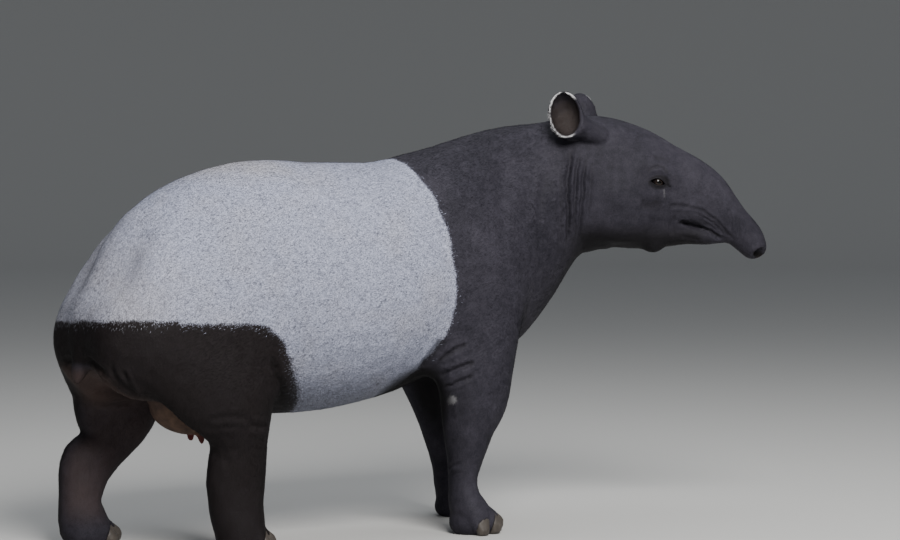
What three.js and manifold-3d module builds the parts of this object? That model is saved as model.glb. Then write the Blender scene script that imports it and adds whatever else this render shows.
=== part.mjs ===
// A life-size Malayan tapir, standing, as a still museum model.
// The animal faces +X, its left side is +Y and it stands on the plane z = 0. All sizes are millimetres.
// The flesh is one smooth implicit body of named tubes and swellings, meshed region by region and
// parted with thin plane cuts. Eyes, hooves and ears are solids of their own.
import * as THREE from 'three';
import Module from 'manifold-3d';

const wasm = await Module();
wasm.setup();

// Driving sizes
const shoulderHeight = 1040;
const trunkLength = 1200;
const seam = 0.3; // gap left between two nodes that touch
const size = shoulderHeight / 1040; // every station below was read on an animal 1040 mm at the shoulder
const length = trunkLength / 1200;

const headYaw = THREE.MathUtils.degToRad(-30); // the head is turned to the animal's right
const headBase = new THREE.Vector3(715, -115, 0);
const eyeRadius = 17;
const eyePlace = { u: 153, v: 80, z: 931 };

const coat = {
  dark: new THREE.MeshStandardMaterial({ color: 0x2b282b, roughness: 0.8, metalness: 0 }),
  pale: new THREE.MeshStandardMaterial({ color: 0xa9aab0, roughness: 0.85, metalness: 0 }),
  skin: new THREE.MeshStandardMaterial({ color: 0x5a4038, roughness: 0.7, metalness: 0 }),
  horn: new THREE.MeshStandardMaterial({ color: 0x2a2522, roughness: 0.5, metalness: 0 }),
  eye: new THREE.MeshStandardMaterial({ color: 0x120c09, roughness: 0.08, metalness: 0 }),
};

// Implicit shapes: each returns a rough signed distance, negative inside

const mix = (a, b, t) => a + (b - a) * t;

function smoothUnion(a, b, reach) {
  const h = Math.max(reach - Math.abs(a - b), 0) / reach;
  return Math.min(a, b) - h * h * reach * 0.25;
}

function smoothCut(a, b, reach) {
  return -smoothUnion(-a, b, reach);
}

// Distance to an ellipsoid-like form whose measure q is 1 on its surface
function measured(along, lift, side, reachAlong, reachLift, reachSide) {
  const q = Math.hypot(along / reachAlong, lift / reachLift, side / reachSide);
  const far = Math.hypot(along, lift, side);
  return q < 1e-6 ? -Math.min(reachLift, reachSide) : far - far / q;
}

function swelling(x, y, z, rx, ry, rz, pitch = 0) {
  const c = Math.cos(THREE.MathUtils.degToRad(pitch));
  const s = Math.sin(THREE.MathUtils.degToRad(pitch));
  return (px, py, pz) => {
    const dx = px - x;
    const dz = pz - z;
    return measured(dx * c + dz * s, -dx * s + dz * c, py - y, rx, rz, ry);
  };
}

// A tube through stations [x, y, z, halfUp, halfDown, halfSide]; its sections stand square to its line
function tube(stations, { steps = 4, cap = 0.6, level = false } = {}) {
  const at = (i) => stations[Math.min(Math.max(i, 0), stations.length - 1)];
  const points = [];
  for (let i = 0; i < stations.length - 1; i++) {
    for (let k = 0; k < steps; k++) {
      const t = k / steps;
      points.push(at(i).map((_, n) => {
        const [a, b, c, d] = [at(i - 1)[n], at(i)[n], at(i + 1)[n], at(i + 2)[n]];
        return b + 0.5 * t * (c - a + t * (2 * a - 5 * b + 4 * c - d + t * (3 * (b - c) + d - a)));
      }));
    }
  }
  points.push([...at(stations.length - 1)]);
  const low = [Infinity, Infinity, Infinity];
  const high = [-Infinity, -Infinity, -Infinity];
  for (const p of points) {
    const reach = Math.max(p[3], p[4], p[5]);
    for (let n = 0; n < 3; n++) {
      low[n] = Math.min(low[n], p[n] - reach);
      high[n] = Math.max(high[n], p[n] + reach);
    }
  }
  const spans = points.slice(1).map((b, i) => {
    const a = points[i];
    const run = new THREE.Vector3(b[0] - a[0], b[1] - a[1], b[2] - a[2]);
    const line = run.clone().normalize();
    const ahead = level ? new THREE.Vector3(1, 0, 0) : new THREE.Vector3(0, 0, 1);
    const side = new THREE.Vector3().crossVectors(ahead, line).normalize();
    const lift = new THREE.Vector3().crossVectors(line, side);
    const ends = { first: i === 0, last: i === points.length - 2 };
    return { a, b, run, line, side, lift, span: run.lengthSq(), ...ends };
  });
  const margin = 90;
  return (px, py, pz) => {
    const outside = Math.max(
      low[0] - px, px - high[0], low[1] - py, py - high[1], low[2] - pz, pz - high[2],
    );
    if (outside > margin) return outside;
    let best = Infinity;
    for (const { a, b, run, line, side, lift, span, first, last } of spans) {
      const dx = px - a[0];
      const dy = py - a[1];
      const dz = pz - a[2];
      const t = Math.min(Math.max((dx * run.x + dy * run.y + dz * run.z) / span, 0), 1);
      const ex = dx - run.x * t;
      const ey = dy - run.y * t;
      const ez = dz - run.z * t;
      const up = ex * lift.x + ey * lift.y + ez * lift.z;
      const across = ex * side.x + ey * side.y + ez * side.z;
      const along = ex * line.x + ey * line.y + ez * line.z;
      const reachUp = up > 0 ? mix(a[3], b[3], t) : mix(a[4], b[4], t);
      const reachSide = mix(a[5], b[5], t);
      const atEnd = (first && t === 0) || (last && t === 1);
      const ring = Math.hypot(up / reachUp, across / reachSide);
      const off = Math.hypot(up, across);
      const d = atEnd
        ? measured(along, up, across, cap * Math.min(reachUp, reachSide), reachUp, reachSide)
        : Math.hypot(along, off) - (ring < 1e-6 ? Math.min(reachUp, reachSide) : off / ring);
      if (d < best) best = d;
    }
    return best;
  };
}

// Trunk: stations across the barrel [x, back, widest, belly, half width]
const barrel = tube([
  [-635, 706, 580, 440, 110],
  [-560, 796, 606, 395, 154],
  [-440, 933, 640, 352, 213],
  [-290, 992, 650, 334, 262],
  [-140, 988, 640, 332, 280],
  [20, 988, 650, 360, 276],
  [150, 986, 680, 412, 246],
  [290, 976, 730, 428, 206],
  [400, 950, 760, 510, 160],
].map(([x, back, widest, belly, half]) => [
  x * length, 0, widest * size, (back - widest) * size, (widest - belly) * size, half * size,
]), { level: false, cap: 0.75 });

const neck = tube([
  [300, 0, 735, 284, 280, 190],
  [405, 0, 790, 272, 246, 176],
  [505, -14, 838, 249, 209, 156],
  [595, -44, 886, 208, 155, 138],
  [672, -84, 922, 181, 180, 120],
].map((row) => row.map((n) => n * size)), { cap: 0.5 });

// Limb stations run down the leg: [x, y, z, half depth ahead, half depth behind, half width]
function limb(stations) {
  return tube(stations.map((row) => row.map((n) => n * size)), { level: true, cap: 0.8 });
}

const foreRight = limb([
  [235, -120, 870, 90, 90, 45],
  [285, -160, 700, 125, 120, 62],
  [305, -178, 560, 106, 128, 70],
  [290, -184, 450, 100, 122, 72],
  [280, -180, 360, 95, 102, 68],
  [268, -173, 295, 74, 80, 60],
  [259, -166, 220, 54, 55, 53],
  [253, -161, 150, 39, 39, 45],
  [258, -160, 95, 44, 43, 47],
  [276, -160, 58, 50, 50, 52],
]);
const foreLeft = limb([
  [235, 120, 870, 90, 90, 45],
  [290, 160, 700, 125, 120, 62],
  [315, 178, 560, 110, 122, 70],
  [318, 184, 450, 108, 88, 72],
  [335, 178, 365, 106, 64, 68],
  [357, 170, 295, 88, 56, 60],
  [375, 162, 220, 64, 50, 54],
  [386, 156, 150, 46, 42, 46],
  [394, 152, 95, 46, 43, 48],
  [410, 152, 58, 50, 44, 52],
]);
const hindRight = limb([
  [-440, -92, 770, 100, 100, 46],
  [-475, -150, 660, 165, 190, 78],
  [-468, -172, 510, 168, 190, 82],
  [-445, -184, 410, 128, 130, 78],
  [-425, -178, 335, 98, 84, 68],
  [-415, -168, 270, 84, 70, 58],
  [-412, -162, 190, 80, 84, 54],
  [-410, -160, 120, 72, 76, 54],
  [-402, -160, 62, 66, 66, 56],
]);
const hindLeft = limb([
  [-455, 92, 770, 100, 100, 46],
  [-530, 146, 660, 165, 176, 78],
  [-565, 170, 510, 160, 178, 82],
  [-590, 178, 410, 138, 128, 79],
  [-612, 172, 340, 118, 98, 73],
  [-648, 166, 275, 92, 37, 60],
  [-683, 162, 215, 75, 72, 53],
  [-702, 160, 150, 62, 60, 50],
  [-704, 160, 105, 56, 58, 52],
  [-692, 160, 60, 60, 70, 54],
]);

const buttocks = [-1, 1].map((side) => swelling(
  (side < 0 ? -630 : -648) * size, side * 104 * size, 540 * size, 148 * size, 100 * size, 150 * size, -6,
));
const tailLine = tube([
  [-745, 0, 545, 42, 42, 48],
  [-758, 0, 502, 33, 33, 36],
  [-768, 0, 470, 24, 24, 27],
  [-774, 0, 446, 14, 14, 16],
].map((row) => row.map((n) => n * size)), { level: true, cap: 0.9 });
const tailRoot = swelling(-650 * size, 0, 575 * size, 138 * size, 100 * size, 130 * size);
const udderBag = swelling(-478 * size, 0, 350 * size, 100 * size, 72 * size, 62 * size, -12);
const teats = [-1, 1].map((side) => tube([
  [-452, side * 30, 305, 15, 15, 15],
  [-448, side * 33, 272, 9, 9, 9],
].map((row) => row.map((n) => n * size)), { level: true, cap: 1 }));

function trunkField(x, y, z) {
  let d = smoothUnion(barrel(x, y, z), neck(x, y, z), 90);
  d = smoothUnion(d, tailRoot(x, y, z), 50);
  for (const side of buttocks) d = smoothUnion(d, side(x, y, z), 60);
  for (const leg of [foreRight, foreLeft]) d = smoothUnion(d, leg(x, y, z), 80);
  for (const leg of [hindRight, hindLeft]) d = smoothUnion(d, leg(x, y, z), 64);
  d = smoothUnion(d, udderBag(x, y, z), 30);
  for (const teat of teats) d = smoothUnion(d, teat(x, y, z), 10);
  return d;
}

// Head, in its own frame: u ahead from the jaw angle, v to the animal's left, z up
const forward = new THREE.Vector3(Math.cos(headYaw), Math.sin(headYaw), 0);
const leftward = new THREE.Vector3(-Math.sin(headYaw), Math.cos(headYaw), 0);

function headToWorld(u, v, z) {
  return headBase.clone().multiplyScalar(size)
    .addScaledVector(forward, u * size)
    .addScaledVector(leftward, v * size)
    .setZ(z * size);
}

const skull = tube([
  [-70, 0, 925, 183, 184, 118],
  [-35, 0, 927, 183, 168, 116],
  [0, 0, 928, 182, 142, 113],
  [70, 0, 925, 161, 160, 105],
  [145, 0, 912, 134, 138, 93],
  [212, 0, 898, 115, 106, 79],
  [270, 0, 882, 92, 82, 66],
  [322, 0, 858, 63, 68, 55],
  [366, 0, 822, 48, 54, 46],
  [402, 0, 781, 47, 43, 40],
  [426, 0, 749, 36, 34, 36],
], { cap: 0.35 });
const lowerJaw = tube([
  [42, 0, 810, 58, 56, 80],
  [100, 0, 795, 48, 46, 72],
  [170, 0, 788, 38, 36, 56],
  [240, 0, 785, 30, 25, 42],
  [300, 0, 780, 22, 21, 32],
  [332, 0, 781, 15, 15, 23],
], { cap: 0.9 });
const cheek = swelling(45, 72, 868, 92, 44, 92, 0);
const browRidge = swelling(150, 66, 962, 60, 30, 26, -22);
const chinLump = swelling(146, 22, 760, 26, 26, 22, 0);
const eyeOpening = swelling(154, 96, 930, 22, 12, 14, -6);
const upperLid = tube([
  [129, 92, 927, 6, 6, 7],
  [142, 94, 944, 7, 7, 8],
  [160, 93, 945, 7, 7, 8],
  [179, 86, 927, 6, 6, 6],
], { cap: 1 });
const lowerLid = tube([
  [129, 92, 926, 5, 5, 7],
  [147, 94, 915, 6, 6, 7],
  [165, 92, 915, 6, 6, 7],
  [181, 85, 926, 5, 5, 6],
], { cap: 1 });
const mouthLine = tube([
  [222, 56, 821, 4, 4, 12],
  [238, 51, 819, 8, 8, 18],
  [258, 43, 813, 9, 9, 18],
  [276, 37, 806, 7, 7, 15],
  [297, 34, 795, 5, 5, 13],
  [316, 32, 784, 5, 5, 12],
  [336, 26, 777, 4, 4, 9],
], { cap: 0.8 });
const nostril = tube([
  [420, 17, 756, 8, 8, 8],
  [438, 21, 737, 16, 13, 12],
  [455, 23, 716, 23, 17, 15],
], { cap: 0.8 });

function headField(x, y, z) {
  const dx = x / size - headBase.x;
  const dy = y / size - headBase.y;
  const u = dx * forward.x + dy * forward.y;
  const v = Math.abs(dx * leftward.x + dy * leftward.y);
  const w = z / size;
  let d = smoothUnion(skull(u, v, w), lowerJaw(u, v, w), 26);
  d = smoothUnion(d, cheek(u, v, w), 40);
  d = smoothUnion(d, browRidge(u, v, w), 30);
  d = smoothUnion(d, chinLump(u, v, w), 18);
  if (u > 90 && u < 220) {
    d = smoothCut(d, eyeOpening(u, v, w), 6);
    d = smoothUnion(d, upperLid(u, v, w), 7);
    d = smoothUnion(d, lowerLid(u, v, w), 7);
  }
  if (u > 200) {
    d = smoothCut(d, mouthLine(u, v, w), 5);
    d = smoothCut(d, nostril(u, v, w), 6);
  }
  return d * size;
}

function bodyField(x, y, z) {
  return smoothUnion(trunkField(x, y, z), headField(x, y, z), 32 * size);
}

// Feet: [name, x, y, hind, outer side]; toes spread from the fetlock and are cut flat by the floor
const feet = [
  { name: 'fore_right', x: 276, y: -160, out: -1, hind: false },
  { name: 'fore_left', x: 410, y: 152, out: 1, hind: false },
  { name: 'hind_right', x: -402, y: -160, out: -1, hind: true },
  { name: 'hind_left', x: -692, y: 160, out: 1, hind: true },
].map((foot) => ({ ...foot, x: foot.x * size, y: foot.y * size }));

const foreToes = [
  { name: 'inner', ahead: 52, across: -40, wide: 23 },
  { name: 'middle', ahead: 76, across: 0, wide: 27 },
  { name: 'outer', ahead: 50, across: 41, wide: 23 },
  { name: 'small', ahead: 4, across: 62, wide: 17 },
];
const hindToes = foreToes.slice(0, 3);
const toesOf = (foot) => (foot.hind ? hindToes : foreToes).map((toe) => ({
  ...toe,
  root: new THREE.Vector3(foot.x - 6 * size, foot.y + foot.out * toe.across * 0.45 * size, 72 * size),
  tip: new THREE.Vector3(
    foot.x + toe.ahead * size, foot.y + foot.out * toe.across * size, (toe.wide - 7) * size,
  ),
}));

function footField(foot) {
  const pad = swelling(foot.x + 6 * size, foot.y, 26 * size, 62 * size, 56 * size, 40 * size);
  const toes = toesOf(foot).map(({ root, tip, wide }) => tube([
    [root.x, root.y, root.z, 34 * size, 34 * size, 30 * size],
    [mix(root.x, tip.x, 0.55), mix(root.y, tip.y, 0.6), mix(root.z, tip.z, 0.5), 28, 28, wide + 1],
    [tip.x, tip.y, tip.z, wide, wide + 2, wide],
  ], { level: true, cap: 0.9 }));
  return (x, y, z) => {
    let d = smoothUnion(bodyField(x, y, z), pad(x, y, z), 20);
    for (const toe of toes) d = smoothUnion(d, toe(x, y, z), 9);
    return Math.max(d, -z);
  };
}

// Marching tetrahedra over a grid of cells, closed at the edge of the box
const cubeCorners = [0, 1, 2, 3, 4, 5, 6, 7].map((i) => [i & 1, (i >> 1) & 1, (i >> 2) & 1]);
const tetrahedra = [[0, 1, 3, 7], [0, 3, 2, 7], [0, 2, 6, 7], [0, 6, 4, 7], [0, 4, 5, 7], [0, 5, 1, 7]];

function meshField(field, low, high, cell) {
  const count = [0, 1, 2].map((n) => Math.ceil((high[n] - low[n]) / cell) + 1);
  const index = (i, j, k) => i + count[0] * (j + count[1] * k);
  const values = new Float64Array(count[0] * count[1] * count[2]);
  const last = count.map((n) => n - 1);
  for (let k = 0; k < count[2]; k++) {
    for (let j = 0; j < count[1]; j++) {
      for (let i = 0; i < count[0]; i++) {
        const rim = i === 0 || j === 0 || k === 0 || i === last[0] || j === last[1] || k === last[2];
        const d = field(low[0] + i * cell, low[1] + j * cell, low[2] + k * cell);
        values[index(i, j, k)] = rim ? Math.max(d, cell * 0.5) : d || 1e-9;
      }
    }
  }
  const vertices = [];
  const triangles = [];
  const known = new Map();
  const place = (n) => {
    const i = n % count[0];
    const j = Math.floor(n / count[0]) % count[1];
    const k = Math.floor(n / (count[0] * count[1]));
    return [low[0] + i * cell, low[1] + j * cell, low[2] + k * cell];
  };
  const crossing = (a, b) => {
    const key = a < b ? a * values.length + b : b * values.length + a;
    if (known.has(key)) return known.get(key);
    const t = Math.min(Math.max(values[a] / (values[a] - values[b]), 0.02), 0.98);
    const [pa, pb] = [place(a), place(b)];
    vertices.push([mix(pa[0], pb[0], t), mix(pa[1], pb[1], t), mix(pa[2], pb[2], t)]);
    known.set(key, vertices.length - 1);
    return vertices.length - 1;
  };
  for (let k = 0; k < last[2]; k++) {
    for (let j = 0; j < last[1]; j++) {
      for (let i = 0; i < last[0]; i++) {
        const corner = cubeCorners.map(([a, b, c]) => index(i + a, j + b, k + c));
        const inside = corner.filter((n) => values[n] < 0).length;
        if (inside === 0 || inside === 8) continue;
        for (const tet of tetrahedra) {
          const n = tet.map((c) => corner[c]);
          const within = n.filter((c) => values[c] < 0);
          const without = n.filter((c) => values[c] >= 0);
          const faces = [];
          if (within.length === 1) {
            const ring = without.map((c) => crossing(within[0], c));
            faces.push(ring);
          } else if (within.length === 3) {
            const ring = within.map((c) => crossing(without[0], c));
            faces.push(ring);
          } else if (within.length === 2) {
            const [a, b] = within;
            const [c, d] = without;
            const ring = [crossing(a, c), crossing(a, d), crossing(b, d), crossing(b, c)];
            faces.push([ring[0], ring[1], ring[2]], [ring[0], ring[2], ring[3]]);
          }
          if (!faces.length) continue;
          const centreIn = [0, 1, 2].map((m) => within.reduce((s, c) => s + place(c)[m], 0) / within.length);
          const centreOut = [0, 1, 2].map((m) => without.reduce((s, c) => s + place(c)[m], 0) / without.length);
          for (const face of faces) {
            const [p, q, r] = face.map((f) => vertices[f]);
            const normal = cross(minus(q, p), minus(r, p));
            const outward = dot(normal, minus(centreOut, centreIn)) >= 0;
            triangles.push(outward ? face : [face[0], face[2], face[1]]);
          }
        }
      }
    }
  }
  return { vertices, triangles };
}

const minus = (a, b) => [a[0] - b[0], a[1] - b[1], a[2] - b[2]];
const cross = (a, b) => [
  a[1] * b[2] - a[2] * b[1], a[2] * b[0] - a[0] * b[2], a[0] * b[1] - a[1] * b[0],
];
const dot = (a, b) => a[0] * b[0] + a[1] * b[1] + a[2] * b[2];

// Merges edges, cheapest first, until few enough triangles are left. The cost of an edge is how far its
// merged point lies from the planes of the triangles round it, plus a little for its length.
function simplify({ vertices, triangles }, target) {
  const position = vertices.map((v) => [...v]);
  const faces = triangles.map((t) => [...t]);
  const alive = faces.map(() => true);
  const around = position.map(() => new Set());
  const quadric = position.map(() => new Float64Array(10));
  faces.forEach((face, f) => {
    face.forEach((v) => around[v].add(f));
    const [p, q, r] = face.map((v) => position[v]);
    const n = cross(minus(q, p), minus(r, p));
    const double = Math.hypot(...n);
    if (double < 1e-9) return;
    const [a, b, c] = n.map((m) => m / double);
    const d = -dot([a, b, c], p);
    const term = [a * a, a * b, a * c, a * d, b * b, b * c, b * d, c * c, c * d, d * d];
    face.forEach((v) => term.forEach((value, m) => { quadric[v][m] += value * double; }));
  });
  const errorAt = (q, [x, y, z]) => q[0] * x * x + 2 * q[1] * x * y + 2 * q[2] * x * z + 2 * q[3] * x
    + q[4] * y * y + 2 * q[5] * y * z + 2 * q[6] * y + q[7] * z * z + 2 * q[8] * z + q[9];
  const stamp = new Int32Array(position.length);
  const heap = [];
  const push = (item) => {
    let i = heap.push(item) - 1;
    while (i > 0) {
      const parent = (i - 1) >> 1;
      if (heap[parent].cost <= item.cost) break;
      heap[i] = heap[parent];
      i = parent;
    }
    heap[i] = item;
  };
  const pop = () => {
    const top = heap[0];
    const item = heap.pop();
    if (heap.length) {
      let i = 0;
      for (;;) {
        let child = 2 * i + 1;
        if (child >= heap.length) break;
        if (child + 1 < heap.length && heap[child + 1].cost < heap[child].cost) child++;
        if (heap[child].cost >= item.cost) break;
        heap[i] = heap[child];
        i = child;
      }
      heap[i] = item;
    }
    return top;
  };
  const bestPoint = (q, a, b) => {
    const det = q[0] * (q[4] * q[7] - q[5] * q[5]) - q[1] * (q[1] * q[7] - q[5] * q[2])
      + q[2] * (q[1] * q[5] - q[4] * q[2]);
    const middle = [0, 1, 2].map((n) => (position[a][n] + position[b][n]) / 2);
    const options = [middle, position[a], position[b]];
    if (Math.abs(det) > 1e-6 * (q[0] + q[4] + q[7]) ** 3) {
      const [x, y, z] = [-q[3], -q[6], -q[8]];
      const point = [
        (x * (q[4] * q[7] - q[5] * q[5]) - q[1] * (y * q[7] - q[5] * z) + q[2] * (y * q[5] - q[4] * z)) / det,
        (q[0] * (y * q[7] - z * q[5]) - x * (q[1] * q[7] - q[5] * q[2]) + q[2] * (q[1] * z - y * q[2])) / det,
        (q[0] * (q[4] * z - q[5] * y) - q[1] * (q[1] * z - y * q[2]) + x * (q[1] * q[5] - q[4] * q[2])) / det,
      ];
      const reach = Math.hypot(...minus(position[a], position[b]));
      if (Math.hypot(...minus(point, middle)) < reach) options.unshift(point);
    }
    return options.reduce((best, p) => (errorAt(q, p) < errorAt(q, best) ? p : best));
  };
  const propose = (a, b) => {
    const q = quadric[a].map((value, n) => value + quadric[b][n]);
    const point = bestPoint(q, a, b);
    const edge = Math.hypot(...minus(position[a], position[b]));
    push({ a, b, point, cost: Math.max(errorAt(q, point), 0) + 4e-5 * edge ** 4, stampA: stamp[a], stampB: stamp[b] });
  };
  const neighbours = (v) => {
    const found = new Set();
    for (const f of around[v]) for (const w of faces[f]) if (w !== v) found.add(w);
    return found;
  };
  position.forEach((_, v) => { for (const w of neighbours(v)) if (w > v) propose(v, w); });
  let left = faces.length;
  while (left > target && heap.length) {
    const { a, b, point, stampA, stampB } = pop();
    if (stampA !== stamp[a] || stampB !== stamp[b]) continue;
    const ringB = neighbours(b);
    let shared = 0;
    for (const w of neighbours(a)) if (ringB.has(w)) shared++;
    if (shared !== 2) continue;
    const turns = (v, other) => [...around[v]].some((f) => {
      if (faces[f].includes(other)) return false;
      const before = faces[f].map((w) => position[w]);
      const after = faces[f].map((w) => (w === v ? point : position[w]));
      const n0 = cross(minus(before[1], before[0]), minus(before[2], before[0]));
      const n1 = cross(minus(after[1], after[0]), minus(after[2], after[0]));
      return dot(n0, n1) < 0.3 * Math.hypot(...n0) * Math.hypot(...n1);
    });
    if (turns(a, b) || turns(b, a)) continue;
    for (const f of [...around[b]]) {
      if (faces[f].includes(a)) {
        alive[f] = false;
        left--;
        faces[f].forEach((v) => around[v].delete(f));
      } else {
        faces[f] = faces[f].map((v) => (v === b ? a : v));
        around[a].add(f);
      }
    }
    around[b].clear();
    position[a] = [...point];
    quadric[b].forEach((value, n) => { quadric[a][n] += value; });
    stamp[a]++;
    stamp[b]++;
    for (const w of neighbours(a)) propose(a, w);
  }
  const used = new Map();
  const kept = faces.filter((_, f) => alive[f]).map((face) => face.map((v) => {
    if (!used.has(v)) used.set(v, used.size);
    return used.get(v);
  }));
  return { vertices: [...used.keys()].map((v) => position[v]), triangles: kept };
}

// Solids
function solidOf({ vertices, triangles }) {
  return new wasm.Manifold(new wasm.Mesh({
    numProp: 3,
    vertProperties: Float32Array.from(vertices.flat()),
    triVerts: Uint32Array.from(triangles.flat()),
  }));
}

function solidOfGeometry(geometry) {
  const position = geometry.attributes.position;
  const keys = new Map();
  const vertices = [];
  const link = [];
  for (let i = 0; i < position.count; i++) {
    const p = [position.getX(i), position.getY(i), position.getZ(i)];
    const key = p.map((n) => Math.round(n * 1e4)).join();
    if (!keys.has(key)) keys.set(key, vertices.push(p) - 1);
    link.push(keys.get(key));
  }
  const order = geometry.index ? [...geometry.index.array] : link.map((_, i) => i);
  const triangles = [];
  for (let i = 0; i < order.length; i += 3) {
    const t = [link[order[i]], link[order[i + 1]], link[order[i + 2]]];
    if (t[0] !== t[1] && t[1] !== t[2] && t[2] !== t[0]) triangles.push(t);
  }
  return solidOf({ vertices, triangles });
}

// The half space beyond a plane, as a block far larger than the animal
function beyond(point, normal, shift = 0) {
  const far = 5000;
  const n = new THREE.Vector3(...normal).normalize();
  const block = new THREE.BoxGeometry(far, far, far);
  block.translate(0, 0, far / 2);
  block.applyQuaternion(new THREE.Quaternion().setFromUnitVectors(new THREE.Vector3(0, 0, 1), n));
  block.translate(...new THREE.Vector3(...point).addScaledVector(n, shift).toArray());
  return solidOfGeometry(block);
}

// A convex block between planes, each given as [point, inward normal]; grow moves every plane outward
function blockOf(planes, grow) {
  return planes
    .map(([point, inward]) => beyond(point, inward, -grow))
    .reduce((all, next) => all.intersect(next));
}

function largest(solid) {
  return solid.decompose().reduce((a, b) => (b.volume() > a.volume() ? b : a));
}

const model = new THREE.Group();

function addNode(name, solid, material) {
  const { vertProperties, triVerts } = largest(solid).getMesh();
  const geometry = new THREE.BufferGeometry();
  geometry.setAttribute('position', new THREE.BufferAttribute(Float32Array.from(vertProperties), 3));
  geometry.setIndex([...triVerts]);
  const mesh = new THREE.Mesh(geometry, material);
  mesh.name = name;
  model.add(mesh);
}

// Moves the vertices of a coarse mesh back onto the surface of the field
function settle({ vertices, triangles }, field, low, high, reach) {
  const step = 0.5;
  const free = (p) => [0, 1, 2].every((n) => p[n] > low[n] + reach && p[n] < high[n] - reach);
  const moved = vertices.map((v) => {
    let p = v;
    for (let round = 0; round < 3 && free(p); round++) {
      const d = field(...p);
      const slope = [0, 1, 2].map((n) => {
        const ahead = [...p];
        ahead[n] += step;
        return (field(...ahead) - d) / step;
      });
      const steep = Math.max(dot(slope, slope), 0.25);
      const shift = Math.min(Math.max(d / steep, -reach / 2), reach / 2);
      p = p.map((n, m) => n - shift * slope[m]);
    }
    return p;
  });
  const faceOf = (list, [a, b, c]) => cross(minus(list[b], list[a]), minus(list[c], list[a]));
  for (let round = 0; round < 2; round++) {
    for (const triangle of triangles) {
      const before = faceOf(vertices, triangle);
      const after = faceOf(moved, triangle);
      if (dot(before, after) > 0.5 * Math.hypot(...before) * Math.hypot(...after)) continue;
      for (const v of triangle) moved[v] = vertices[v];
    }
  }
  return { vertices: moved, triangles };
}

function region(field, low, high, cell, target) {
  const coarse = simplify(meshField(field, low, high, cell), target);
  return solidOf(settle(coarse, field, low, high, cell));
}

// Cut planes, each [point, normal pointing into the node]
const half = seam / 2;
const flip = ([point, normal]) => [point, normal.map((n) => -n)];
const worldPoint = (u, v, z) => headToWorld(u, v, z).toArray();
const worldNormal = (u, z) => forward.clone().multiplyScalar(u).setZ(z).toArray();

const neckPlane = [[380 * size, 0, 770 * size], [0.96, -0.02, 0.24]];
const headPlane = [worldPoint(-52, 0, 930), worldNormal(0.99, 0.08)];
const snoutPlane = [worldPoint(300, 0, 872), worldNormal(0.86, -0.5)];

const legBlocks = {
  fore_right: [[[0, -180, 396], [0, -0.2, -1]], [[135, 0, 400], [1, 0, 0.1]], [[0, -48, 0], [0, -1, 0]]],
  fore_left: [[[0, 180, 396], [0, 0.2, -1]], [[140, 0, 400], [1, 0, 0.1]], [[0, 48, 0], [0, 1, 0]]],
  hind_right: [[[-440, -180, 374], [0.1, -0.3, -1]], [[-318, 0, 400], [-1, 0, -0.15]], [[0, -72, 0], [0, -1, 0]]],
  hind_left: [[[-590, 180, 380], [0, 0.3, -1]], [[-390, 0, 400], [-1, 0, -0.3]], [[0, 72, 0], [0, 1, 0]]],
};
const udderBlock = [
  [[-480, 0, 352], [0.06, 0, -1]], [[-570, 0, 300], [1, 0, 0]], [[-375, 0, 300], [-1, 0, 0]],
  [[0, -71, 0], [0, 1, 0]], [[0, 71, 0], [0, -1, 0]],
];
const scaled = (planes) => planes.map(([point, normal]) => [point.map((n) => n * size), normal]);

// Trunk and neck
const trunkSolid = region(bodyField, [-860, -330, 225], [820, 330, 1180], 13, 4500);
let torso = trunkSolid.subtract(blockOf([neckPlane], half));
for (const planes of Object.values(legBlocks)) torso = torso.subtract(blockOf(scaled(planes), half));
torso = torso.subtract(blockOf(scaled(udderBlock), half));
addNode('torso', torso, coat.pale);
addNode('neck', trunkSolid.intersect(blockOf([neckPlane], -half)).subtract(blockOf([headPlane], half)), coat.dark);

// Head and snout
function headRegion(from, to, low, high, cell, target) {
  const corners = [from, to].flatMap((u) => [-160, 160].map((v) => headToWorld(u, v, 0)));
  const box = new THREE.Box3().setFromPoints(corners);
  const field = (x, y, z) => {
    const u = ((x - headBase.x * size) * forward.x + (y - headBase.y * size) * forward.y) / size;
    return Math.max(bodyField(x, y, z), (from + 15 - u) * size, (u - to + 15) * size);
  };
  const floor = [box.min.x, box.min.y, low * size];
  return region(field, floor, [box.max.x, box.max.y, high * size], cell, target);
}

const headSolid = headRegion(-90, 400, 690, 1140, 6, 3000);
const snoutSolid = headRegion(195, 490, 690, 990, 4.2, 1700);
const eyes = [-1, 1].map((side) => {
  const ball = (radius) => {
    const sphere = new THREE.SphereGeometry(radius * size, 14, 9);
    sphere.translate(...worldPoint(eyePlace.u, side * eyePlace.v, eyePlace.z));
    return solidOfGeometry(sphere);
  };
  return { side, ball: ball(eyeRadius), socket: ball(eyeRadius + seam) };
});
let head = headSolid.intersect(blockOf([headPlane], -half)).subtract(blockOf([snoutPlane], half));
for (const { socket } of eyes) head = head.subtract(socket);
addNode('proboscis', snoutSolid.intersect(blockOf([snoutPlane], -half)), coat.dark);

for (const { side, ball } of eyes) addNode(side < 0 ? 'eye_right' : 'eye_left', ball, coat.eye);

// Ears: an oval cup on a broad stalk. In the cup's own frame x runs across, y to the tip, z out of the cup
const cup = { across: 46, tall: 66, deep: 44, wall: 7 };

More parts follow.
